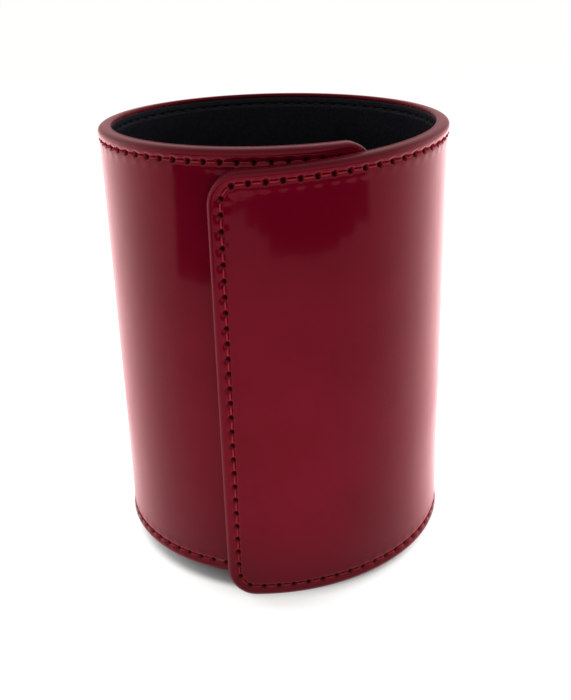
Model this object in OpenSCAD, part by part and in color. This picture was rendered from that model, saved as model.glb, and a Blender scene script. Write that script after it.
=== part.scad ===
// Rolled dice cup: one long leather-covered strip with rounded corners, stitched all round its edge,
// rolled past a full turn so that its outer end (the flap) lies over its inner end (the tail).
// Hidden magnets in the flap and the tail hold it closed round a lift-out base.
// +Z is up, the front is towards -Y, and z = 0 is the lowest edge of the flap.
// The strip is modelled as a chain of stiff panels. Panel 1 is the flap's free end and the panels
// are numbered anticlockwise from above, so the last panel is the free end of the tail.

/* [Strip] */
// Width of the strip, which is the height of the wall
strip_width = 100; // [80:1:120]
// Radius of the outer face at the flap's free edge
edge_radius = 41.3; // [38:0.1:48]
// Angle that the whole strip covers, in degrees
wrap_angle = 413; // [408:1:418]
// Direction of the flap's free edge, in degrees from the front towards the right
edge_azimuth = -18.4; // [-30:0.1:-5]
// Radius of the strip's four corners
corner_radius = 7; // [5:0.5:12]
// How far the flap's free edge hangs below the turn under it
flap_dip = 3.2; // [0:0.1:4]
// Angle from the flap's edge over which that dip fades out, in degrees
dip_angle = 120; // [60:1:180]
// How much the strip climbs in one turn
turn_rise = 0.9; // [0:0.1:2]

/* [Layers] */
// Thickness of the outer leather
leather_t = 0.9; // [0.6:0.1:1.4]
// Thickness of the stiffener
stiffener_t = 1.1; // [1:0.1:2]
// Thickness of the lining
lining_t = 0.7; // [0.6:0.1:1.2]
// Gap between one turn and the next where they overlap
layer_gap = 0.15; // [0.1:0.05:0.5]

/* [Stitching] */
// Distance from the strip's edge to the middle of the stitch line
stitch_inset = 2.7; // [2:0.1:4]
// How much further in the stitch line is at the strip's two free ends
end_setback = 0.5; // [0:0.1:1]
// Width of the groove that the thread lies in
groove_w = 0.8; // [0.6:0.1:1.2]
// Depth of that groove
groove_depth = 0.4; // [0.3:0.05:0.5]
// Width of the thread
thread_w = 0.6; // [0.4:0.05:0.6]
// How far the thread lies below the face
thread_sunk = 0.05; // [0.05:0.05:0.1]

/* [Magnets] */
// Diameter of each magnet
magnet_d = 8; // [6:0.5:10]
// Thickness of each magnet
magnet_t = 0.75; // [0.5:0.05:0.8]
// Direction of the row of magnets, in degrees from the front towards the right
magnet_azimuth = -4.2; // [-5:0.1:-3.5]
// Heights of the magnets up the strip
magnet_heights = [20, 50, 80]; // [15:1:85]

/* [Base] */
// Radius of the base
base_radius = 35.9; // [33:0.1:36]
// Height of the underside of the base
base_z = 6; // [5:0.5:12]
// Thickness of the base's board
board_t = 2.5; // [1.5:0.1:4]
// How far the base's middle is from the middle of the cup, to the right and to the back
base_offset = [-0.7, 1.6]; // [-2:0.1:2]
// Radius of the ring of stitches on the base
base_stitch_radius = 31.5; // [25:0.5:32]

/* [Hidden] */
$fn = 96;
panel_count = 13;
panels = [1 : panel_count];
flap_magnet_panel = 1;
tail_magnet_panel = 12;
over = 1;
wall_t = leather_t + stiffener_t + lining_t;
turn_pitch = wall_t + layer_gap;
panel_angle = wrap_angle / panel_count;
radius_step = turn_pitch * panel_angle / 360;
centre_ring = radius_step / (2 * sin(panel_angle / 2));
groove_outer = stitch_inset - groove_w / 2;
groove_inner = stitch_inset + groove_w / 2;
thread_outer = stitch_inset - thread_w / 2;
thread_inner = stitch_inset + thread_w / 2;
pocket_play = 0.2;
magnet_seat = 0.05;
base_t = leather_t + board_t + lining_t;

function is_end(i) = i == 1 || i == panel_count;
function named(kind, i) = str(kind, "_", i < 10 ? "0" : "", i);
// Unit vector at an azimuth, which is measured from the front (-Y) towards the right (+X)
function heading(azimuth) = [sin(azimuth), -cos(azimuth)];
// Azimuth where a panel starts
function start_azimuth(i) = edge_azimuth + (i - 1) * panel_angle;
// Each panel's arc is a little tighter than the one before it, and its centre moves towards
// the joint between them by the same step, so the outer face runs on without a kink.
function panel_radius(i) = edge_radius - (i - 1) * radius_step;
function loose_centre(i) = centre_ring * heading(start_azimuth(i) + panel_angle / 2 - 90);
function panel_at(azimuth) = ceil((azimuth - edge_azimuth) / panel_angle);
function reach(azimuth) =
    panel_radius(panel_at(azimuth)) + loose_centre(panel_at(azimuth)) * heading(azimuth);
// Moves the roll so that the middle of its outer box is on the Z axis
roll_middle = [(reach(90) - reach(270)) / 2, (reach(180) - reach(0)) / 2];
function panel_centre(i) = loose_centre(i) - roll_middle;
// Height of the strip's lower edge at an angle from the flap's free edge
function strip_rise(angle) =
    turn_rise * angle / 360 - flap_dip * pow(max(0, 1 - angle / dip_angle), 2);
function panel_z(i) = strip_rise((i - 0.5) * panel_angle) - strip_rise(panel_angle / 2);

// Places a panel's children, whose own frame has the panel's start on its X axis
module in_panel(i) {
    translate([panel_centre(i).x, panel_centre(i).y, panel_z(i)])
        rotate(start_azimuth(i) - 90)
            children();
}

// Part of the wall between two depths below the outer face, inset from the strip's edges,
// and running past the panel's ends by a spare angle
module arc_slab(i, depth_from, depth_to, inset, spare) {
    rotate(-spare)
        rotate_extrude(angle = panel_angle + 2 * spare)
            translate([panel_radius(i) - depth_to, inset])
                square([depth_to - depth_from, strip_width - 2 * inset]);
}

// Outline of the strip's free end, inset from its edge: the end is at x = 0
module end_outline(inset) {
    corner = corner_radius - inset;
    far = strip_width / 2;
    translate([corner_radius, inset])
        square([far, strip_width - 2 * inset]);
    translate([inset, corner_radius])
        square([far, strip_width - 2 * corner_radius]);
    for (z = [corner_radius, strip_width - corner_radius])
        translate([corner_radius, z])
            circle(corner);
}

// Extrudes an outline of the strip's end through the whole of an end panel, along the end's
// radius. The tail's end is the mirror image of the flap's.
module end_prism(i) {
    nearest = panel_radius(i) / 2;
    rotate(i == 1 ? 0 : panel_angle)
        mirror([0, i == 1 ? 0 : 1, 0])
            translate([nearest, 0, 0])
                rotate([90, 0, 90])
                    linear_extrude(panel_radius(i) - nearest + 2 * over)
                        children();
}

// Layer of the wall between two depths, inset from the strip's edges and its two ends
module layer(i, depth_from, depth_to, inset, spare = 0) {
    if (is_end(i)) {
        intersection() {
            arc_slab(i, depth_from, depth_to, inset, spare);
            end_prism(i)
                end_outline(inset);
        }
    } else {
        arc_slab(i, depth_from, depth_to, inset, spare);
    }
}

// Band that follows the strip's edge, between two insets and two depths
module edge_band(i, depth_from, depth_to, inset_from, inset_to, spare = 0) {
    if (is_end(i)) {
        intersection() {
            arc_slab(i, depth_from, depth_to, 0, spare);
            end_prism(i)
                translate([end_setback, 0])
                    difference() {
                        end_outline(inset_from);
                        end_outline(inset_to);
                    }
        }
    } else {
        difference() {
            arc_slab(i, depth_from, depth_to, inset_from, spare);
            arc_slab(i, depth_from - over, depth_to + over, inset_to, spare + 1);
        }
    }
}

module outer_groove(i) {
    edge_band(i, -over, groove_depth, groove_outer, groove_inner, 1);
}

module inner_groove(i) {
    edge_band(i, wall_t - groove_depth, wall_t + over, groove_outer, groove_inner, 1);
}

module magnet_discs(i, diameter, thickness, depth) {
    for (z = magnet_heights)
        rotate(magnet_azimuth - start_azimuth(i) + (i == flap_magnet_panel ? 0 : 360))
            translate([panel_radius(i) - depth, 0, z])
                rotate([0, 90, 0])
                    cylinder(d = diameter, h = thickness);
}

// Outer leather, turned over the strip's edge as far as the lining
module outer_leather(i) {
    color("darkred") in_panel(i)
        difference() {
            layer(i, 0, wall_t, 0);
            layer(i, leather_t, wall_t + over, leather_t, 1);
            outer_groove(i);
        }
}

// Springy board between the leather and the lining, pocketed where it holds magnets
module stiffener(i) {
    color("burlywood") in_panel(i)
        difference() {
            layer(i, leather_t, leather_t + stiffener_t, leather_t);
            if (i == flap_magnet_panel || i == tail_magnet_panel)
                magnet_discs(i, magnet_d + pocket_play, stiffener_t + 2 * over,
                    leather_t + stiffener_t + over);
        }
}

module lining(i) {
    color("dimgray") in_panel(i)
        difference() {
            layer(i, leather_t + stiffener_t, wall_t, leather_t);
            inner_groove(i);
        }
}

// Needle thread in the leather's groove and bobbin thread in the lining's
module stitching(i) {
    color("firebrick") in_panel(i) {
        edge_band(i, thread_sunk, groove_depth, thread_outer, thread_inner);
        edge_band(i, wall_t - groove_depth, wall_t - thread_sunk, thread_outer, thread_inner);
    }
}

module magnets(i) {
    color("silver") in_panel(i)
        magnet_discs(i, magnet_d, magnet_t, leather_t + stiffener_t - magnet_seat);
}

// Places the base's layers, measured up from its underside
module in_base(height) {
    translate([base_offset.x, base_offset.y, base_z + height])
        children();
}

module base_board() {
    color("tan") in_base(leather_t)
        cylinder(r = base_radius - leather_t, h = board_t);
}

// Leather under the board and up round its edge
module base_cover() {
    color("black") in_base(0)
        difference() {
            cylinder(r = base_radius, h = base_t);
            translate([0, 0, leather_t])
                cylinder(r = base_radius - leather_t, h = base_t);
        }
}

module ring(radius, width, height) {
    difference() {
        cylinder(r = radius + width / 2, h = height);
        translate([0, 0, -over])
            cylinder(r = radius - width / 2, h = height + 2 * over);
    }
}

module base_lining() {
    color("dimgray") in_base(leather_t + board_t)
        difference() {
            cylinder(r = base_radius - leather_t, h = lining_t);
            translate([0, 0, lining_t - groove_depth])
                ring(base_stitch_radius, groove_w, groove_depth + over);
        }
}

module base_stitching() {
    color("gray") in_base(base_t - groove_depth)
        ring(base_stitch_radius, thread_w, groove_depth - thread_sunk);
}

for (i = panels) {
    outer_leather(i);
    stiffener(i);
    lining(i);
    stitching(i);
}
magnets(flap_magnet_panel);  // flap_magnets
magnets(tail_magnet_panel);  // tail_magnets
base_board();
base_cover();
base_lining();
base_stitching();
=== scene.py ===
"""Looks of a rolled leather dice cup: a long strip of glossy red patent leather with a black lining,
stitched all round its edge, rolled past a full turn so that its flap laps over its tail.

The strip is drawn in its own flat coordinates and then rolled up:
  s  distance along the outer face from the flap's free edge, to the right round the cup
  v  height above the strip's lower edge
  h  height above the outer face, negative into the wall
Lengths are in millimetres until a mesh is made.
"""

import math

import bmesh
import bpy
import numpy as np
from mathutils import Matrix, Vector


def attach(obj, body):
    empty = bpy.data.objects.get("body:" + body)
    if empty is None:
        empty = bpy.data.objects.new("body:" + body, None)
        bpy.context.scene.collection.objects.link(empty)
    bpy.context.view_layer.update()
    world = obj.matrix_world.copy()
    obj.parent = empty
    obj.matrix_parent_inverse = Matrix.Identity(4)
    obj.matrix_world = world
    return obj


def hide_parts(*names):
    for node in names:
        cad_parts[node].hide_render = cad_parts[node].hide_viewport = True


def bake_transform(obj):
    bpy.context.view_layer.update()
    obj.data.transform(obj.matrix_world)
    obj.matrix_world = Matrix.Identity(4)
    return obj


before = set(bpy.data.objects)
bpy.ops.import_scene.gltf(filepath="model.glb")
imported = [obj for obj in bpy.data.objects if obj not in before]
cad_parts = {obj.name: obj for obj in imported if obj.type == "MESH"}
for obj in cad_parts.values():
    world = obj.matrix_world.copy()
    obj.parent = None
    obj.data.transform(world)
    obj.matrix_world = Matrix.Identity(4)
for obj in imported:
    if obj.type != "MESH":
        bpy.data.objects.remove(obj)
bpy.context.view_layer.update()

# ---------------------------------------------------------------- driving dimensions, as in the CAD
MM = 0.001
PANELS = 13
STRIP_W = 100.0
EDGE_RADIUS = 41.3
WRAP_ANGLE = 413.0
EDGE_AZIMUTH = -18.4
CORNER = 7.0
FLAP_DIP, DIP_ANGLE, TURN_RISE = 3.2, 120.0, 0.9
WALL, LAYER_GAP = 2.7, 0.15
STITCH_INSET = 2.7
END_SETBACK = 0.5  # how much further in the stitch line is at the two free ends
STITCH_LENGTH = 3.44
BAND = 6.0  # width of the finely modelled band along the strip's edge
COLUMNS_PER_STITCH = 12
CUT_MARGIN = 0.03  # narrow column beside a cut, which keeps the shading even across it

# ---------------------------------------------------------------- the roll
PANEL_ANGLE = WRAP_ANGLE / PANELS
RADIUS_STEP = (WALL + LAYER_GAP) * PANEL_ANGLE / 360
panel_index = np.arange(PANELS)
panel_azimuth = EDGE_AZIMUTH + panel_index * PANEL_ANGLE
panel_radius = EDGE_RADIUS - panel_index * RADIUS_STEP
panel_length = panel_radius * math.radians(PANEL_ANGLE)
panel_start = np.concatenate([[0.0], np.cumsum(panel_length)])
STRIP_L = panel_start[-1]


def heading(azimuth):
    """Unit vector at an azimuth in degrees, from the front (-Y) towards the right (+X)."""
    a = np.radians(azimuth)
    return np.stack([np.sin(a), -np.cos(a)], -1)


centre_ring = RADIUS_STEP / (2 * math.sin(math.radians(PANEL_ANGLE / 2)))
loose_centre = centre_ring * heading(panel_azimuth + PANEL_ANGLE / 2 - 90)


def reach(azimuth):
    i = math.ceil((azimuth - EDGE_AZIMUTH) / PANEL_ANGLE) - 1
    return panel_radius[i] + loose_centre[i] @ heading(azimuth)


roll_middle = np.array([reach(90) - reach(270), reach(180) - reach(0)]) / 2
panel_centre = loose_centre - roll_middle


def strip_rise(angle):
    fade = np.maximum(0, 1 - angle / DIP_ANGLE)
    return TURN_RISE * angle / 360 - FLAP_DIP * fade**2


def roll(s, v, h):
    """Points of the rolled strip, in metres."""
    s, v, h = np.broadcast_arrays(s, v, h)
    i = np.clip(np.searchsorted(panel_start, s, side="right") - 1, 0, PANELS - 1)
    turned = np.degrees((s - panel_start[i]) / panel_radius[i])
    out = heading(panel_azimuth[i] + turned)
    xy = panel_centre[i] + (panel_radius[i] + h)[..., None] * out
    z = v + strip_rise(i * PANEL_ANGLE + turned) - strip_rise(PANEL_ANGLE / 2)
    return np.concatenate([xy, z[..., None]], -1) * MM


# ---------------------------------------------------------------- the strip's edge
# g runs along the stitch line from the middle of the flap's free edge, over the top or along the
# bottom of the strip, to the middle of the tail's free edge. d is the distance in from the edge.
SIDE_RUN = STRIP_W / 2 - CORNER
CORNER_RUN = math.pi / 2 * (CORNER - STITCH_INSET)
LONG_RUN = STRIP_L - 2 * CORNER
HALF_RUN = 2 * SIDE_RUN + 2 * CORNER_RUN + LONG_RUN
STITCHES = round(HALF_RUN / STITCH_LENGTH)
PITCH = HALF_RUN / STITCHES


def edge_bend(g):
    """Distance from the middle of the nearer end, and how far the edge has turned there, in radians."""
    from_end = np.where(g < HALF_RUN / 2, g, HALF_RUN - g)
    return from_end, np.clip((from_end - SIDE_RUN) / (CORNER - STITCH_INSET), 0, math.pi / 2)


def stitch_inset(g):
    return STITCH_INSET + END_SETBACK * np.cos(edge_bend(g)[1]) ** 2


def edge_point(g, d, side):
    """(s, v) at g along the edge and d in from it; side is 1 for the top half and -1 for the bottom."""
    g, d = np.broadcast_arrays(g, d)
    from_end, bend = edge_bend(g)
    beyond = np.maximum(0, from_end - SIDE_RUN - CORNER_RUN)
    a = CORNER - (CORNER - d) * np.cos(bend) + beyond
    up = np.minimum(from_end, SIDE_RUN) + (CORNER - d) * np.sin(bend)
    s = np.where(g < HALF_RUN / 2, a, STRIP_L - a)
    return s, STRIP_W / 2 + side * up


def g_of_s(s):
    """g of a place on the strip's long runs."""
    return SIDE_RUN + CORNER_RUN + s - CORNER


def smooth(x, a, b):
    t = np.clip((x - a) / (b - a), 0, 1)
    return t * t * (3 - 2 * t)


def spline(points, spacing):
    """Points of a Catmull-Rom curve through the given ones, about a spacing apart."""
    p = np.array(points, float)
    p = np.vstack([2 * p[0] - p[1], p, 2 * p[-1] - p[-2]])
    out = []
    for a, b, c, d in zip(p, p[1:], p[2:], p[3:]):
        n = max(1, round(np.linalg.norm(c - b) / spacing))
        square = 2 * a - 5 * b + 4 * c - d
        cube = 3 * b - a - 3 * c + d
        for t in np.arange(n) / n:
            out.append(0.5 * (2 * b + (c - a) * t + square * t**2 + cube * t**3))
    out.append(p[-2])
    return np.array(out)


# Cross-sections near the edge as (d, h): first the hidden side, then round the edge to the face
LEATHER_BACK = [(BAND, -0.68), (0.58, -0.68), (0.5, -0.76), (0.5, -2.2), (0.7, -2.25)]
LEATHER_FACE = [
    (0.78, -2.72),
    (0.45, -2.79),
    (0.14, -2.7),
    (0.0, -2.5),
    (0.02, -2.32),
    (0.14, -2.2),
    (0.07, -2.05),
    (0.05, -1.8),
    (0.07, -1.35),
    (0.14, -0.8),
    (0.33, -0.3),
    (0.63, 0.08),
    (1.0, 0.3),
    (1.35, 0.36),
    (1.75, 0.27),
    (2.1, 0.06),
    (2.4, -0.14),
    (2.7, -0.22),
    (3.0, -0.12),
    (3.35, 0.05),
    (4.0, 0.07),
    (5.0, 0.02),
    (BAND, 0.0),
]
LINING_BACK = [(BAND, -2.05), (0.95, -2.05), (0.86, -2.12)]
LINING_FACE = [
    (0.86, -2.45),
    (0.95, -2.6),
    (1.15, -2.68),
    (1.7, -2.72),
    (2.2, -2.74),
    (2.5, -2.66),
    (2.7, -2.6),
    (2.9, -2.66),
    (3.2, -2.74),
    (3.8, -2.75),
    (4.8, -2.72),
    (BAND, -WALL),
]
BEAD_CREST = 1.35  # d of the highest point of the bead
SCALLOP, SCALLOP_D, SCALLOP_WIDTH = 0.14, 2.1, 0.45  # how the stitches draw the bead's slope in
PUCKER, PUCKER_D, PUCKER_WIDTH = 0.022, 4.0, 0.8  # how they lift the face beyond the stitch line
DENT, DENT_D, DENT_WIDTH = 0.03, (3.1, 2.3), (0.4, 0.3)  # the same on the lining
HOLE_DEPTH, HOLE_SIZE = 0.44, 0.56
LINING_HOLE_DEPTH, LINING_HOLE_SIZE = -0.2, 0.3
# The hole mark also carries painted shade: the materials colour the needle holes near black with it, for the
# shade inside them.
MARKS = ("hole", "turned")  # what the mesh code tells the materials, point by point
TURNED = 0.45, 1.0  # the turned edge ends between these distances from the strip's edge
# Where the strip passes under the flap, in degrees of roll from the flap's edge. Its upper rim stays
# in view, above the flap, for longer than its lower one.
BEAD_LOW, BEAD_HIGH = (351, 359), (375, 405)
THREAD_LOW, THREAD_HIGH = (349, 357), (371, 379)
BEAD_LEFT = 0.1  # share of the upper bead that is left under the flap


def last_turn(s):
    """Degrees of roll from the flap's edge, exact on the last panel."""
    return np.degrees((s - panel_start[PANELS - 1]) / panel_radius[-1]) + (PANELS - 1) * PANEL_ANGLE


def proud(s, side):
    """How much of the bead stands out: under the flap there is no room for it."""
    at = last_turn(s)
    low = 1 - smooth(at, *BEAD_LOW)
    high = 1 - (1 - BEAD_LEFT) * smooth(at, *BEAD_HIGH)
    return np.where(side > 0, high, low)


def hump(x, middle, width):
    return np.exp(-(((x - middle) / width) ** 2))


class Skin:
    """A layer of the strip: its cross-section at the edge, and its relief along the stitches."""

    def __init__(self, back, face, spacing, outward):
        face = spline(face, spacing)
        self.d = np.concatenate([[p[0] for p in back], face[:, 0]])
        self.h = np.concatenate([[p[1] for p in back], face[:, 1]])
        self.back = len(back)
        self.outward = outward
        self.mid_h = self.h[-1]
        self.under_h = self.h[0]

    def relief(self, g, side):
        """d, h and the two marks, needle hole and turned edge, as arrays of rows by columns."""
        s, _ = edge_point(g, STITCH_INSET, side)
        d = np.repeat(self.d[:, None], len(g), 1)
        h = np.repeat(self.h[:, None], len(g), 1)
        phase = g / PITCH
        along = (phase - np.round(phase)) * PITCH
        face = np.zeros(len(self.d), bool)
        face[self.back :] = True
        slope = (face & (self.d > BEAD_CREST))[:, None]
        swing = np.cos(2 * np.pi * phase)[None, :]
        if self.outward:
            order = np.flatnonzero(slope)
            shifted = d + SCALLOP * swing * hump(d, SCALLOP_D, SCALLOP_WIDTH)
            puckered = np.interp(shifted, self.d[order], self.h[order])
            puckered += PUCKER * swing * hump(d, PUCKER_D, PUCKER_WIDTH)
            h = np.where(slope, puckered, h)
            h = np.where(h > 0, h * proud(s, side)[None, :], h)
            depth, size = HOLE_DEPTH, HOLE_SIZE
        else:
            near = sum(hump(d, at, width) for at, width in zip(DENT_D, DENT_WIDTH))
            h = h + np.where(slope, -DENT * near * swing, 0)
            depth, size = LINING_HOLE_DEPTH, LINING_HOLE_SIZE
        r = np.hypot(along[None, :], d - STITCH_INSET)
        hole = np.exp(-((r / size) ** 4)) * face[:, None]
        setback = (stitch_inset(g) - STITCH_INSET)[None, :]
        d = d + setback * smooth(d, 0.5, STITCH_INSET) * (1 - smooth(d, STITCH_INSET, BAND))
        turned = face[:, None] * (1 - smooth(d, *TURNED))
        return d, h - depth * hole, np.stack([hole, turned])


def column_grid(start, end):
    """g of the columns between two places: a fixed number per stitch, and a narrow one at each cut."""
    step = PITCH / COLUMNS_PER_STITCH
    inner = np.arange(math.ceil(start / step), math.floor(end / step) + 1) * step
    inner = inner[(inner > start + 2 * CUT_MARGIN) & (inner < end - 2 * CUT_MARGIN)]
    return inner


def make_mesh(name, verts, faces, caps=(), marks=None, normals=None):
    """A smooth-shaded mesh; caps are flat faces at a cut, with sharp borders."""
    mesh = bpy.data.meshes.new(name)
    mesh.from_pydata(verts, [], [list(map(int, f)) for f in faces] + [list(map(int, c)) for c in caps])
    bm = bmesh.new()
    bm.from_mesh(mesh)
    bmesh.ops.recalc_face_normals(bm, faces=bm.faces)
    bm.faces.ensure_lookup_table()
    for f in bm.faces:
        f.smooth = True
    for i in range(len(faces), len(faces) + len(caps)):
        bm.faces[i].smooth = False
        for e in bm.faces[i].edges:
            e.smooth = False
    bm.to_mesh(mesh)
    bm.free()
    if marks is not None:
        for mark, values in zip(MARKS, marks):
            attribute = mesh.attributes.new(mark, "FLOAT", "POINT")
            attribute.data.foreach_set("value", np.asarray(values, np.float32))
    if normals is not None:
        at = np.zeros(len(mesh.loops), np.int32)
        mesh.loops.foreach_get("vertex_index", at)
        own = np.zeros(len(mesh.vertices) * 3, np.float32)
        mesh.vertex_normals.foreach_get("vector", own)
        outward = np.sign((normals * own.reshape(-1, 3)).sum(1, keepdims=True))
        at_corner = (normals * outward)[at]
        for cap in mesh.polygons[len(faces) :]:
            at_corner[cap.loop_start : cap.loop_start + cap.loop_total] = cap.normal
        mesh.normals_split_custom_set(at_corner.tolist())
    piece = bpy.data.objects.new(name, mesh)
    bpy.context.scene.collection.objects.link(piece)
    return piece


NORMAL_STEP = 0.02


def grid_normals(points, g, way, closed):
    """Normals of a grid of points, from its slopes; way is 1 where g rises with the columns, else -1."""
    p = points(g)
    ahead = (points(g + NORMAL_STEP) - points(g - NORMAL_STEP)) * way[None, :, None]
    across = np.roll(p, -1, 0) - np.roll(p, 1, 0)
    if not closed:
        across[0], across[-1] = p[1] - p[0], p[-1] - p[-2]
    n = np.cross(ahead, across)
    n /= np.linalg.norm(n, axis=-1, keepdims=True)
    return n


def quads(index, closed_rows=False):
    """Faces of a grid of vertex numbers, rows by columns."""
    if closed_rows:
        index = np.vstack([index, index[:1]])
    a, b, c, d = index[:-1, :-1], index[:-1, 1:], index[1:, 1:], index[1:, :-1]
    return np.stack([a, b, c, d], -1).reshape(-1, 4)


MID_ROWS = 20


def middle_section(name, skin, s_from, s_to):
    """The strip between two cuts across it, as one closed shell."""
    g_from, g_to = g_of_s(s_from), g_of_s(s_to)
    g = column_grid(g_from, g_to)
    g = np.concatenate([[g_from, g_from + CUT_MARGIN], g, [g_to - CUT_MARGIN, g_to]])
    mid_v = np.linspace(BAND, STRIP_W - BAND, MID_ROWS + 2)[1:-1, None]

    def shape(g):
        low_d, low_h, low_marks = skin.relief(g, -1)
        top_d, top_h, top_marks = skin.relief(g, 1)
        blank = np.zeros((MID_ROWS, len(g)))
        v = np.vstack([low_d, blank + mid_v, STRIP_W - top_d[::-1]])
        h = np.vstack([low_h, blank + skin.mid_h, top_h[::-1]])
        return v, h, np.concatenate([low_marks, [blank] * len(MARKS), top_marks[:, ::-1]], 1)

    def points(g):
        v, h, _ = shape(g)
        return roll(edge_point(g, 0, 1)[0][None, :], v, h)

    marks = shape(g)[2]
    index = np.arange(marks[0].size).reshape(marks[0].shape)
    normals = grid_normals(points, g, np.ones(len(g)), True)
    return make_mesh(
        name,
        points(g).reshape(-1, 3),
        quads(index, True),
        (index[:, 0], index[::-1, -1]),
        marks.reshape(len(MARKS), -1),
        normals.reshape(-1, 3),
    )


def end_section(name, skin, width, tail):
    """The flap's or the tail's free end with its round corners, as far as a cut, as one closed shell."""
    corner_g = SIDE_RUN + CORNER_RUN
    cut_g = corner_g + width - CORNER
    half = column_grid(0, cut_g)
    half = np.unique(np.concatenate([half, [corner_g, cut_g - CUT_MARGIN, cut_g]]))
    half = half[np.concatenate([[True], np.diff(half) > CUT_MARGIN / 2])]
    half = half[half > CUT_MARGIN]
    g = np.concatenate([half[::-1], [0.0], half])
    side = np.concatenate([-np.ones(len(half)), np.ones(len(half) + 1)])

    def points(g):
        d, h, _ = skin.relief(g, side)
        return roll(*edge_point(g[None, :], d, side[None, :]), h)

    path_g = HALF_RUN - g if tail else g
    d, h, at_edge = skin.relief(path_g, side)
    s, v = edge_point(path_g[None, :], d, side[None, :])
    verts, marks = [points(path_g).reshape(-1, 3)], [at_edge.reshape(len(MARKS), -1)]
    normals = [grid_normals(points, path_g, side, False).reshape(-1, 3)]
    band = np.arange(d.size).reshape(d.shape)
    faces = [quads(band)]
    count = d.size
    straight = int((half > corner_g + 1e-6).sum())  # columns beyond the corner, on each side
    first, last = straight, len(g) - 1 - straight
    borders = []
    for row, level in ((0, skin.under_h), (len(skin.d) - 1, skin.mid_h)):
        inner_s, inner_v = s[row], v[row]
        grid = np.zeros((last - first + 1, straight + 1), int)
        grid[:, 0] = band[row, first : last + 1]
        grid[0, :] = band[row, first::-1][: straight + 1]
        grid[-1, :] = band[row, last:]
        share = (inner_s[last:] - inner_s[last]) / (inner_s[-1] - inner_s[last])
        start = inner_s[first + 1 : last]
        fill_s = start[:, None] + (inner_s[-1] - start)[:, None] * share[None, 1:]
        fill_v = np.repeat(inner_v[first + 1 : last, None], straight, 1)
        fill = roll(fill_s, fill_v, level)
        verts.append(fill.reshape(-1, 3))
        normals.append((roll(fill_s, fill_v, level + 1.0) - fill).reshape(-1, 3) / MM)
        marks.append(np.zeros((len(MARKS), fill_s.size)))
        grid[1:-1, 1:] = count + np.arange(fill_s.size).reshape(fill_s.shape)
        count += fill_s.size
        faces.append(quads(grid))
        borders.append(grid[:, -1])
    under, over = borders
    cap = np.concatenate([band[:, 0], over[1:-1], band[::-1, -1], under[-2:0:-1]])
    return make_mesh(name, np.vstack(verts), np.vstack(faces), (cap,), np.hstack(marks), np.vstack(normals))


# ---------------------------------------------------------------- thread
THREAD_R = 0.21
PLY_BULGE = 0.16  # how far each of the two plies stands out of a round thread
TWISTS = 3.0  # turns of the plies in one stitch
AROUND, ALONG = 10, 18
THREAD_START = 0.15  # where the thread leaves its hole, as a share of the stitch
THREAD_TAPER = 0.25  # how much thinner the thread is where it dives into its hole
THREAD_SUNK = 0.3  # how far the flap presses the thread down
NEEDLE_TOP, NEEDLE_HOLE = -0.02, -0.75
BOBBIN_TOP, BOBBIN_HOLE = -2.55, -2.15


def covered(s, side):
    """How far the flap keeps the thread down, from 0 to 1."""
    at = last_turn(s)
    return np.where(side > 0, smooth(at, *THREAD_HIGH), smooth(at, *THREAD_LOW))


def thread_tube(centre_h, flat):
    """Offsets of a two-ply thread's skin along one stitch, as arrays of around by along."""
    t = np.linspace(0, 1, ALONG)
    around = np.arange(AROUND) / AROUND * 2 * math.pi
    plies = 1 + PLY_BULGE * np.cos(2 * (around[:, None] - TWISTS * 2 * math.pi * t[None, :]))
    radius = THREAD_R * plies * (1 - THREAD_TAPER * np.abs(2 * t - 1) ** 6)[None, :]
    return t, radius * np.cos(around)[:, None], centre_h(t)[None, :] + flat * radius * np.sin(around)[:, None]


def needle_height(t):
    return NEEDLE_HOLE + (NEEDLE_TOP - NEEDLE_HOLE) * (1 - np.abs(2 * t - 1) ** 5)


def bobbin_height(t):
    return BOBBIN_HOLE + (BOBBIN_TOP - BOBBIN_HOLE) * (1 - np.abs(2 * t - 1) ** 6)


def tube_faces(count):
    """Faces of one stitch with its two ends closed, for a number of stitches."""
    index = np.arange(AROUND * ALONG).reshape(AROUND, ALONG)
    sides = quads(index, True)
    faces = []
    for n in range(count):
        shift = n * AROUND * ALONG
        faces += (sides + shift).tolist()
        faces += [(index[:, 0] + shift).tolist(), (index[::-1, -1] + shift).tolist()]
    return faces


def strip_stitches(name, stitches, needle):
    """Stitches of one section: needle thread outside, or bobbin thread on the lining."""
    t, across, up = thread_tube(needle_height, 1.0) if needle else thread_tube(bobbin_height, 0.75)
    verts = []
    for number, side in stitches:
        g = (number + THREAD_START + (1 - 2 * THREAD_START) * t) * PITCH
        s, _ = edge_point(g, STITCH_INSET, side)
        sunk = THREAD_SUNK * covered(s, side) if needle else 0
        s, v = edge_point(g[None, :], stitch_inset(g)[None, :] + across, side)
        verts.append(roll(s, v, up - sunk).reshape(-1, 3))
    return make_mesh(name, np.vstack(verts), tube_faces(len(stitches)))


# ---------------------------------------------------------------- the lift-out base
BASE_R, BASE_Z, BOARD_T = 35.9, 6.0, 2.5
LEATHER_T, LINING_T = 0.9, 0.7
BASE_TOP = LEATHER_T + BOARD_T + LINING_T
BASE_OFFSET = (-0.7, 1.6)
BASE_STITCH_R = 31.5
BASE_STITCHES = 58
BASE_PITCH = 2 * math.pi * BASE_STITCH_R / BASE_STITCHES
BASE_COLUMNS = BASE_STITCHES * 10
# Turned outlines as (r, z) above the base's underside, from the axis out and back to it
COVER_PROFILE = [
    (0, 0),
    (20, 0),
    (34.9, 0),
    (35.4, 0.06),
    (35.75, 0.28),
    (BASE_R, 0.7),
    (BASE_R, 2.0),
    (BASE_R, 3.5),
    (35.85, 3.85),
    (35.7, 4.03),
    (35.45, 4.08),
    (35.2, 4.02),
    (35.08, 3.85),
    (35.05, 3.5),
    (35.05, 1.2),
    (34.6, 0.85),
    (20, 0.85),
    (0, 0.85),
]
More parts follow.
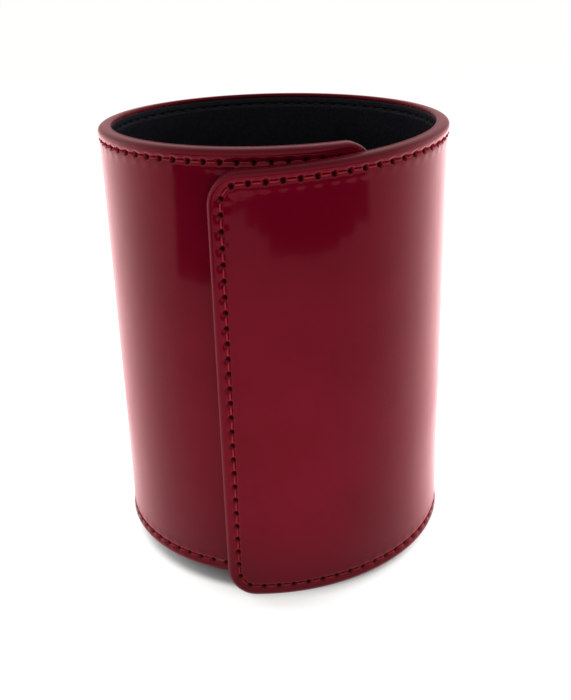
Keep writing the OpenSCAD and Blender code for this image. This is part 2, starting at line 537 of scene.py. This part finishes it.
# The same for the base's lining, with each z below its top face
BASE_LINING_DROPS = [
    (0, 0.02),
    (12, 0.02),
    (24, 0.01),
    (28.5, 0),
    (29.5, 0),
    (30.1, 0),
    (30.5, 0),
    (30.8, 0),
    (31.0, 0.02),
    (31.2, 0.09),
    (31.35, 0.14),
    (BASE_STITCH_R, 0.16),
    (31.65, 0.14),
    (31.8, 0.09),
    (32.0, 0.02),
    (32.2, 0),
    (32.5, 0),
    (32.9, 0),
    (33.5, 0),
    (34.1, 0),
    (34.5, 0.03),
    (34.8, 0.12),
    (34.97, 0.3),
]
BASE_LINING_BACK = [(34.97, 3.45), (20, 3.42), (0, 3.42)]
BASE_LINING_PROFILE = [(r, BASE_TOP - drop) for r, drop in BASE_LINING_DROPS] + BASE_LINING_BACK
BASE_PUCKER, BASE_PUCKER_AWAY, BASE_PUCKER_WIDTH = 0.05, 0.7, 0.4
BASE_HOLE_DEPTH, BASE_HOLE_SIZE = 0.28, 0.32
BASE_THREAD_DEEP, BASE_THREAD_RISE = -0.5, 0.42
BASE_THREAD_SUNK, BASE_THREAD_START = 0.12, 0.04


def base_point(r, turn, z):
    """Points of the base, in metres."""
    r, turn, z = np.broadcast_arrays(r, turn, z)
    x = BASE_OFFSET[0] + r * np.cos(turn)
    y = BASE_OFFSET[1] + r * np.sin(turn)
    return np.stack([x, y, BASE_Z + z], -1) * MM


def lathe(name, profile, relief=None):
    """A closed turned shell: the profile runs from the axis out and back to the axis, as (r, z)."""
    turn = np.arange(BASE_COLUMNS) / BASE_COLUMNS * 2 * math.pi
    inner = np.array(profile[1:-1])
    r = np.repeat(inner[:, :1], BASE_COLUMNS, 1)
    z = np.repeat(inner[:, 1:], BASE_COLUMNS, 1)
    marks = np.zeros((len(MARKS), r.size + 2))
    if relief:
        z, hole = relief(r, z, turn)
        marks[0, :-2] = hole.ravel()
    verts = base_point(r, turn[None, :], z).reshape(-1, 3)
    poles = base_point(np.zeros(2), 0, np.array([profile[0][1], profile[-1][1]]))
    index = np.arange(r.size).reshape(r.shape)
    index = np.hstack([index, index[:, :1]])
    faces = quads(index).tolist()
    for pole, row in ((r.size, index[0]), (r.size + 1, index[-1])):
        faces += [(pole, int(a), int(b)) for a, b in zip(row, row[1:])]
    return make_mesh(name, np.vstack([verts, poles]), faces, marks=marks)


def base_relief(r, z, turn):
    """The stitch groove, the puckers and the needle holes of the base's lining."""
    phase = turn / (2 * math.pi) * BASE_STITCHES
    along = (phase - np.round(phase)) * BASE_PITCH
    top = z > BASE_TOP - 0.3
    away = r - BASE_STITCH_R
    swing = np.cos(2 * np.pi * phase)[None, :]
    both_sides = sum(hump(away, at, BASE_PUCKER_WIDTH) for at in (BASE_PUCKER_AWAY, -BASE_PUCKER_AWAY))
    pucker = BASE_PUCKER * swing * both_sides
    hole = np.exp(-((np.hypot(along[None, :], away) / BASE_HOLE_SIZE) ** 4)) * top
    return np.where(top, z - pucker - BASE_HOLE_DEPTH * hole, z), hole


def base_thread_height(t):
    return BASE_THREAD_DEEP + BASE_THREAD_RISE * (1 - np.abs(2 * t - 1) ** 5)


def base_stitches(name):
    t, across, up = thread_tube(base_thread_height, 1.0)
    z = BASE_TOP - BASE_THREAD_SUNK + up
    verts = []
    for n in range(BASE_STITCHES):
        turn = (n + BASE_THREAD_START + (1 - 2 * BASE_THREAD_START) * t) / BASE_STITCHES * 2 * math.pi
        verts.append(base_point(BASE_STITCH_R + across, turn[None, :], z).reshape(-1, 3))
    return make_mesh(name, np.vstack(verts), tube_faces(BASE_STITCHES))


# ---------------------------------------------------------------- materials
def node_material(name, roughness, specular=0.5):
    """A material with its Principled node, its node list, its links and object coordinates."""
    material = bpy.data.materials.new(name)
    material.use_nodes = True
    nodes, links = material.node_tree.nodes, material.node_tree.links
    shader = nodes["Principled BSDF"]
    shader.inputs["Roughness"].default_value = roughness
    shader.inputs["Specular IOR Level"].default_value = specular
    place = nodes.new("ShaderNodeTexCoord").outputs["Object"]
    return material, shader, nodes, links, place


def noise(nodes, links, place, scale, detail=3.0, roughness=0.5):
    texture = nodes.new("ShaderNodeTexNoise")
    texture.inputs["Scale"].default_value = scale
    texture.inputs["Detail"].default_value = detail
    texture.inputs["Roughness"].default_value = roughness
    links.new(place, texture.inputs["Vector"])
    return texture.outputs["Fac"]


def cells(nodes, links, place, scale):
    """Height of pebble grain: round cells with creases between them."""
    texture = nodes.new("ShaderNodeTexVoronoi")
    texture.feature = "SMOOTH_F1"
    texture.inputs["Scale"].default_value = scale
    texture.inputs["Smoothness"].default_value = 0.35
    links.new(place, texture.inputs["Vector"])
    return texture.outputs["Distance"]


def bump(nodes, links, height, distance, strength, before=None):
    node = nodes.new("ShaderNodeBump")
    node.inputs["Distance"].default_value = distance
    node.inputs["Strength"].default_value = strength
    links.new(height, node.inputs["Height"])
    if before:
        links.new(before, node.inputs["Normal"])
    return node.outputs["Normal"]


def mix(nodes, links, factor, a, b):
    """A colour between a and b, each a colour or a socket."""
    node = nodes.new("ShaderNodeMix")
    node.data_type = "RGBA"
    links.new(factor, node.inputs["Factor"])
    for value, socket in ((a, node.inputs["A"]), (b, node.inputs["B"])):
        if isinstance(value, tuple):
            socket.default_value = (*value, 1)
        else:
            links.new(value, socket)
    return node.outputs["Result"]


def multiply(nodes, links, a, b):
    node = nodes.new("ShaderNodeMath")
    node.operation = "MULTIPLY"
    links.new(a, node.inputs[0])
    links.new(b, node.inputs[1])
    return node.outputs["Value"]


def remap(nodes, links, value, low, high, to_low, to_high):
    node = nodes.new("ShaderNodeMapRange")
    for key, number in zip(("From Min", "From Max", "To Min", "To Max"), (low, high, to_low, to_high)):
        node.inputs[key].default_value = number
    links.new(value, node.inputs["Value"])
    return node.outputs["Result"]


COAT_FACING = 0.5  # share of the clear coat's gloss that is left when it is seen face on
COAT_TURNED = 0.22  # and where the leather is turned over the strip's edge
# On the smooth face and on the turned edge
LEATHER_ROUGHNESS = 0.13, 0.45
LEATHER_SHEEN = 0.5, 0.12
LEATHER_SPECULAR = 0.25, 0.08


def marked(nodes, mark):
    """One of the marks that the mesh code leaves on its points."""
    node = nodes.new("ShaderNodeAttribute")
    node.attribute_name = mark
    return node.outputs["Fac"]


def patent_leather():
    """Deep red leather under a clear glossy coat, faintly uneven."""
    material, shader, nodes, links, place = node_material("patent_leather", LEATHER_ROUGHNESS[0])
    tone = remap(nodes, links, noise(nodes, links, place, 60, 4), 0.35, 0.65, 0, 1)
    colour = mix(nodes, links, tone, (0.051, 0.0002, 0.0036), (0.059, 0.0004, 0.0048))
    hole = marked(nodes, "hole")
    turned = marked(nodes, "turned")
    # Painted shade: the needle holes are coloured near black, for the shade inside them.
    colour = mix(nodes, links, hole, colour, (0.003, 0.0002, 0.0003))
    links.new(colour, shader.inputs["Base Color"])
    shader.inputs["IOR"].default_value = 2.1
    shader.inputs["Specular Tint"].default_value = (1, 0.06, 0.08, 1)
    shader.inputs["Coat IOR"].default_value = 1.4
    shader.inputs["Sheen Roughness"].default_value = 0.35
    shader.inputs["Sheen Tint"].default_value = (1, 0.05, 0.09, 1)
    facing = nodes.new("ShaderNodeLayerWeight").outputs["Facing"]
    coat = remap(nodes, links, facing, 0.25, 0.6, COAT_FACING, 1.0)
    for mark, left in ((hole, 0.0), (turned, COAT_TURNED)):
        coat = multiply(nodes, links, coat, remap(nodes, links, mark, 0, 1, 1, left))
    links.new(coat, shader.inputs["Coat Weight"])
    links.new(remap(nodes, links, turned, 0, 1, *LEATHER_ROUGHNESS), shader.inputs["Roughness"])
    around_hole = remap(nodes, links, hole, 0, 1, 1, 0)
    for socket, levels in (("Sheen Weight", LEATHER_SHEEN), ("Specular IOR Level", LEATHER_SPECULAR)):
        level = remap(nodes, links, turned, 0, 1, *levels)
        links.new(multiply(nodes, links, level, around_hole), shader.inputs[socket])
    fine = noise(nodes, links, place, 500, 2)
    wide = noise(nodes, links, place, 90, 1)
    links.new(remap(nodes, links, wide, 0.3, 0.7, 0.03, 0.06), shader.inputs["Coat Roughness"])
    waves = bump(nodes, links, wide, 0.0004, 0.2)
    peel = bump(nodes, links, fine, 0.00003, 0.08, waves)
    links.new(peel, shader.inputs["Coat Normal"])
    links.new(peel, shader.inputs["Normal"])
    return material


def grained_leather(name, dark, light, roughness, grain):
    """Black leather with a fine flat grain and soft creases."""
    material, shader, nodes, links, place = node_material(name, roughness, 0.2)
    pebbles = cells(nodes, links, place, grain)
    mottle = noise(nodes, links, place, 140, 4)
    colour = mix(nodes, links, remap(nodes, links, pebbles, 0.1, 0.6, 1, 0), dark, light)
    # Painted shade: the needle holes are coloured darker still, for the shade inside them.
    colour = mix(nodes, links, marked(nodes, "hole"), colour, (0.0005, 0.0005, 0.0005))
    links.new(colour, shader.inputs["Base Color"])
    uneven = remap(nodes, links, mottle, 0.3, 0.7, roughness - 0.06, roughness + 0.08)
    links.new(uneven, shader.inputs["Roughness"])
    creases = bump(nodes, links, mottle, 0.0001, 0.3)
    links.new(bump(nodes, links, pebbles, 0.00006, 0.4, creases), shader.inputs["Normal"])
    return material


def thread(name, dark, light, roughness):
    """Twisted polyester thread with fine fibres."""
    material, shader, nodes, links, place = node_material(name, roughness, 0.2)
    fibres = noise(nodes, links, place, 6000, 3)
    links.new(mix(nodes, links, fibres, dark, light), shader.inputs["Base Color"])
    links.new(bump(nodes, links, fibres, 0.00006, 0.5), shader.inputs["Normal"])
    return material


def nickel():
    material, shader, nodes, links, place = node_material("nickel_plating", 0.2)
    shader.inputs["Metallic"].default_value = 1.0
    rub = noise(nodes, links, place, 1500, 4)
    links.new(mix(nodes, links, rub, (0.55, 0.54, 0.52), (0.72, 0.71, 0.69)), shader.inputs["Base Color"])
    links.new(remap(nodes, links, rub, 0.3, 0.7, 0.14, 0.34), shader.inputs["Roughness"])
    return material


def fibreboard(name, dark, light):
    """Pressed board with short pale and dark fibres."""
    material, shader, nodes, links, place = node_material(name, 0.85, 0.2)
    stretch = nodes.new("ShaderNodeMapping")
    stretch.inputs["Scale"].default_value = (1, 1, 6)
    links.new(place, stretch.inputs["Vector"])
    fibres = noise(nodes, links, stretch.outputs["Vector"], 900, 6, 0.65)
    links.new(mix(nodes, links, fibres, dark, light), shader.inputs["Base Color"])
    links.new(bump(nodes, links, fibres, 0.0002, 0.5), shader.inputs["Normal"])
    return material


# ---------------------------------------------------------------- the pieces
def finish_piece(piece, material, replaced=()):
    piece.data.materials.clear()
    piece.data.materials.append(material)
    if replaced:
        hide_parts(*replaced)


def numbered(kind, panel):
    return f"{kind}_{panel:02d}"


def join_panels(piece):
    """Bakes a piece's placement into its mesh."""
    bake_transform(piece)


leather_skin = Skin(LEATHER_BACK, LEATHER_FACE, 0.22, True)
lining_skin = Skin(LINING_BACK, LINING_FACE, 0.25, False)
cut_s = (panel_start[:-1] + panel_start[1:]) / 2
end_width = (cut_s[0], STRIP_L - cut_s[-1])
section_of = np.digitize((np.arange(STITCHES) + 0.5) * PITCH, g_of_s(cut_s))  # 0 is the flap's end

red = patent_leather()
LINING_ROUGHNESS, LINING_GRAIN = 0.5, 1500
black = grained_leather(
    "lining_leather", (0.0022, 0.0024, 0.004), (0.0058, 0.0062, 0.009), LINING_ROUGHNESS, LINING_GRAIN
)
red_thread = thread("red_thread", (0.1, 0.001, 0.004), (0.2, 0.003, 0.008), 0.6)
black_thread = thread("black_thread", (0.003, 0.003, 0.004), (0.009, 0.009, 0.011), 0.55)

for section in range(PANELS + 1):
    stitches = [(int(n), side) for side in (-1, 1) for n in np.flatnonzero(section_of == section)]
    if section == 0:
        label, names = "flap_end", ()
    elif section == PANELS:
        label, names = "tail_end", (PANELS,)
    else:
        label, names = numbered("section", section), (section,)
    made = []
    for kind, skin in (("leather", leather_skin), ("lining", lining_skin)):
        name = f"{label}_{kind}"
        if 0 < section < PANELS:
            made.append(middle_section(name, skin, cut_s[section - 1], cut_s[section]))
        else:
            tail = section == PANELS
            made.append(end_section(name, skin, end_width[tail], tail))
    made.append(strip_stitches(f"{label}_needle_thread", stitches, True))
    made.append(strip_stitches(f"{label}_bobbin_thread", stitches, False))
    leather_piece, lining_piece, needle_piece, bobbin_piece = made
    finish_piece(leather_piece, red, [numbered("outer_leather", n) for n in names])
    finish_piece(lining_piece, black, [numbered("lining", n) for n in names])
    finish_piece(needle_piece, red_thread, [numbered("stitching", n) for n in names])
    finish_piece(bobbin_piece, black_thread)
    for piece in made:
        if 0 < section < PANELS:
            join_panels(piece)
        else:
            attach(piece, numbered("panel", max(section, 1)))


cover = grained_leather("base_cover_leather", (0.006, 0.006, 0.007), (0.016, 0.016, 0.018), 0.48, 900)
finish_piece(lathe("wrapped_base_cover", COVER_PROFILE), cover, ["base_cover"])
# Painted light: the base's lining is a lighter copy of the lining leather, standing in for light that hardly
# reaches the bottom of the cup.
lightened_floor_black = grained_leather(
    "base_lining_leather", (0.005, 0.0053, 0.007), (0.013, 0.0135, 0.016), LINING_ROUGHNESS, LINING_GRAIN
)
floor_piece = lathe("stitched_base_lining", BASE_LINING_PROFILE, base_relief)
finish_piece(floor_piece, lightened_floor_black, ["base_lining"])
finish_piece(base_stitches("base_stitch_ring"), black_thread, ["base_stitching"])
for name in ("wrapped_base_cover", "stitched_base_lining", "base_stitch_ring"):
    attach(bpy.data.objects[name], "base")

stiffener_board = fibreboard("stiffener_board", (0.22, 0.15, 0.09), (0.5, 0.38, 0.25))
base_board = fibreboard("base_board", (0.2, 0.14, 0.09), (0.42, 0.32, 0.21))
plating = nickel()
for name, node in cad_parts.items():
    if name.startswith("stiffener"):
        finish_piece(node, stiffener_board)
    elif name.endswith("magnets"):
        finish_piece(node, plating)
    elif name == "base_board":
        finish_piece(node, base_board)


# ---------------------------------------------------------------- studio
def plain(name, colour, roughness=0.9):
    material = bpy.data.materials.new(name)
    material.use_nodes = True
    shader = material.node_tree.nodes["Principled BSDF"]
    shader.inputs["Base Color"].default_value = (*colour, 1)
    shader.inputs["Roughness"].default_value = roughness
    shader.inputs["Specular IOR Level"].default_value = 0.0
    return material


def panel(name, corners, material):
    """A flat stage card with its corners in millimetres."""
    mesh = bpy.data.meshes.new(name)
    mesh.from_pydata([[c * MM for c in corner] for corner in corners], [], [tuple(range(len(corners)))])
    mesh.materials.append(material)
    card = bpy.data.objects.new(name, mesh)
    bpy.context.scene.collection.objects.link(card)
    return card


FLOOR_Z, FLOOR_REACH = -0.4, 3000
FLOOR = [(x * FLOOR_REACH, y * FLOOR_REACH, FLOOR_Z) for x, y in ((-1, -1), (1, -1), (1, 1), (-1, 1))]


class Graph:
    """Short names for the nodes of one node tree."""

    def __init__(self, tree):
        self.nodes, self.links = tree.nodes, tree.links

    def maths(self, operation, a, b=0.0):
        node = self.nodes.new("ShaderNodeMath")
        node.operation = operation
        for value, socket in ((a, node.inputs[0]), (b, node.inputs[1])):
            if isinstance(value, (int, float)):
                socket.default_value = value
            else:
                self.links.new(value, socket)
        return node.outputs["Value"]

    def ramp(self, value, low, high, to_low, to_high):
        node = self.nodes.new("ShaderNodeMapRange")
        node.interpolation_type = "SMOOTHSTEP"
        for key, number in zip(("From Min", "From Max", "To Min", "To Max"), (low, high, to_low, to_high)):
            node.inputs[key].default_value = number
        self.links.new(value, node.inputs["Value"])
        return node.outputs["Result"]

    def split(self, source):
        node = self.nodes.new("ShaderNodeSeparateXYZ")
        self.links.new(self.nodes.new("ShaderNodeTexCoord").outputs[source], node.inputs["Vector"])
        return node.outputs["X"], node.outputs["Y"], node.outputs["Z"]

    def distance(self):
        """How far a point of the floor is from the cup's axis, in metres."""
        x, y, _ = self.split("Object")
        maths = self.maths
        return maths("SQRT", maths("ADD", maths("MULTIPLY", x, x), maths("MULTIPLY", y, y)))


# Painted shade under the cup: the paper's glow and the mirrored floor's light fade out within the cup's
# footprint.
UNDER_CUP = 0.0365, 0.0395  # the floor's light fades out between these distances from the axis
GLOW_START, GLOW_SPAN = math.radians(50), math.radians(110)
GLOW_FRONT, GLOW_LEFT, GLOW_RIGHT = 0.4, 0.85, 1.35
GLOW_NEAR = 1.3  # how much brighter the glow is close to the cup
CARD_LEVEL = 0.03
# Dark cards round the front, as (bearing from, bearing to, nearest edge in metres)
CARDS = [
    (-2, 40, 0.308),
    (-8, 50, 0.328),
    (-15, 60, 0.357),
    (-60, 20, 0.385),
    (-64, -38, 0.262),
]
CARD_SOFT_TURN, CARD_SOFT = 3.5, 0.014


def glow_floor():
    """What the glossy leather mirrors of the floor: dim in front, bright at the sides and behind."""
    material = bpy.data.materials.new("mirrored_floor")
    material.use_nodes = True
    graph = Graph(material.node_tree)
    nodes, links, maths = graph.nodes, graph.links, graph.maths
    nodes.remove(nodes["Principled BSDF"])
    x, y, _ = graph.split("Object")
    bearing = maths("ARCTAN2", x, maths("MULTIPLY", y, -1.0))
    distance = graph.distance()
    turned = maths("SUBTRACT", maths("ABSOLUTE", bearing), GLOW_START)
    turned = maths("MAXIMUM", maths("DIVIDE", turned, GLOW_SPAN), 0.0)
    gain = graph.ramp(x, -0.05, 0.05, GLOW_LEFT, GLOW_RIGHT)
    gain = maths("MULTIPLY", gain, graph.ramp(distance, 0.04, 0.1, 1 + GLOW_NEAR, 1.0))
    level = maths("ADD", maths("MULTIPLY", maths("MULTIPLY", turned, turned), gain), GLOW_FRONT)
    dark = 0.0
    for left, right, near in CARDS:
        edges = [math.radians(a) for a in (left - CARD_SOFT_TURN, left + CARD_SOFT_TURN)]
        inside = graph.ramp(bearing, *edges, 0.0, 1.0)
        edges = [math.radians(a) for a in (right - CARD_SOFT_TURN, right + CARD_SOFT_TURN)]
        inside = maths("MULTIPLY", inside, graph.ramp(bearing, *edges, 1.0, 0.0))
        inside = maths("MULTIPLY", inside, graph.ramp(distance, near - CARD_SOFT, near + CARD_SOFT, 0.0, 1.0))
        dark = maths("MAXIMUM", dark, inside)
    card = graph.ramp(dark, 0.0, 1.0, 1.0, CARD_LEVEL)
    card = maths("MULTIPLY", card, graph.ramp(distance, *UNDER_CUP, 0.0, 1.0))
    light = nodes.new("ShaderNodeEmission")
    links.new(maths("MULTIPLY", level, card), light.inputs["Strength"])
    links.new(light.outputs["Emission"], nodes["Material Output"].inputs["Surface"])
    return material


def white_floor():
    """Pale paper that glows evenly, so that only a faint shadow is left on it; its glow is taken away under
    the cup, a painted shade there.
    """
    material = plain("floor_paper", (0.5, 0.5, 0.495))
    graph = Graph(material.node_tree)
    shader = graph.nodes["Principled BSDF"]
    shader.inputs["Emission Color"].default_value = (1, 1, 0.99, 1)
    # Painted shade: the glow fades out under the cup.
    light = graph.ramp(graph.distance(), *UNDER_CUP, 0.0, 0.5)
    graph.links.new(light, shader.inputs["Emission Strength"])
    return material


ROOM_LEVEL, ROOM_FRONT, ROOM_BACK = 1.0, 0.5, 0.7


def white_room():
    """White all round; what the gloss mirrors of it is dim overhead and bright beyond the cup."""
    world = bpy.data.worlds.new("studio")
    bpy.context.scene.world = world
    world.use_nodes = True
    graph = Graph(world.node_tree)
    background = graph.nodes["Background"]
    background.inputs["Color"].default_value = (1, 1, 1, 1)
    _, y, _ = graph.split("Generated")
    seen = graph.ramp(y, -0.2, 0.95, ROOM_FRONT, ROOM_BACK)
    glossy = graph.nodes.new("ShaderNodeLightPath").outputs["Is Glossy Ray"]
    mirrored = graph.maths("MULTIPLY", seen, glossy)
    plainly = graph.maths("MULTIPLY", graph.maths("SUBTRACT", 1.0, glossy), ROOM_LEVEL)
    graph.links.new(graph.maths("ADD", mirrored, plainly), background.inputs["Strength"])


bpy.context.scene.view_settings.view_transform = "Standard"
white_room()
floor = panel("floor", FLOOR, white_floor())
floor.visible_glossy = False
glow = panel("mirrored_floor", FLOOR, glow_floor())
glow.visible_camera = False
glow.visible_diffuse = False
glow.visible_shadow = False


def area_light(name, place, target, size, power):
    """A rectangular soft box aimed at a point; places in millimetres."""
    data = bpy.data.lights.new(name, "AREA")
    data.shape = "RECTANGLE"
    data.size, data.size_y = size[0] * MM, size[1] * MM
    data.energy = power
    light = bpy.data.objects.new(name, data)
    light.location = Vector(place) * MM
    light.rotation_euler = (Vector(target) - Vector(place)).to_track_quat("-Z", "Y").to_euler()
    bpy.context.scene.collection.objects.link(light)
    return light


CAMERA_PLACE = (-0.713, -223.79, 140.18)
CAMERA_YAW, CAMERA_PITCH, CAMERA_ROLL = 0.009, 0.403, -0.028
CAMERA_LENS, CAMERA_SENSOR = 49.34, 36.0


def place_camera():
    """The viewpoint: in front, a little above the rim's height, looking down."""
    flat, down = math.cos(CAMERA_PITCH), math.sin(CAMERA_PITCH)
    forward = Vector((math.sin(CAMERA_YAW) * flat, math.cos(CAMERA_YAW) * flat, -down))
    level = Vector((math.cos(CAMERA_YAW), -math.sin(CAMERA_YAW), 0))
    upward = level.cross(forward)
    right = level * math.cos(CAMERA_ROLL) + upward * math.sin(CAMERA_ROLL)
    up = upward * math.cos(CAMERA_ROLL) - level * math.sin(CAMERA_ROLL)
    data = bpy.data.cameras.new("camera")
    data.lens, data.sensor_width = CAMERA_LENS, CAMERA_SENSOR
    data.clip_start = 0.01
    camera = bpy.data.objects.new("camera", data)
    turn = Matrix((right, up, -forward)).transposed().to_4x4()
    camera.matrix_world = Matrix.Translation(Vector(CAMERA_PLACE) * MM) @ turn
    bpy.context.scene.collection.objects.link(camera)
    bpy.context.scene.camera = camera


CUP_MIDDLE = (0, 0, 50)
for light in (
    area_light("left_box", (-350, 180, 150), CUP_MIDDLE, (260, 260), 2.6),
    area_light("right_box", (350, 200, 150), CUP_MIDDLE, (260, 260), 3.7),
    area_light("floor_bounce", (10, -120, 1), (10, -120, 200), (180, 110), 0.33),
):
    light.visible_glossy = False
    light.visible_camera = False
place_camera()
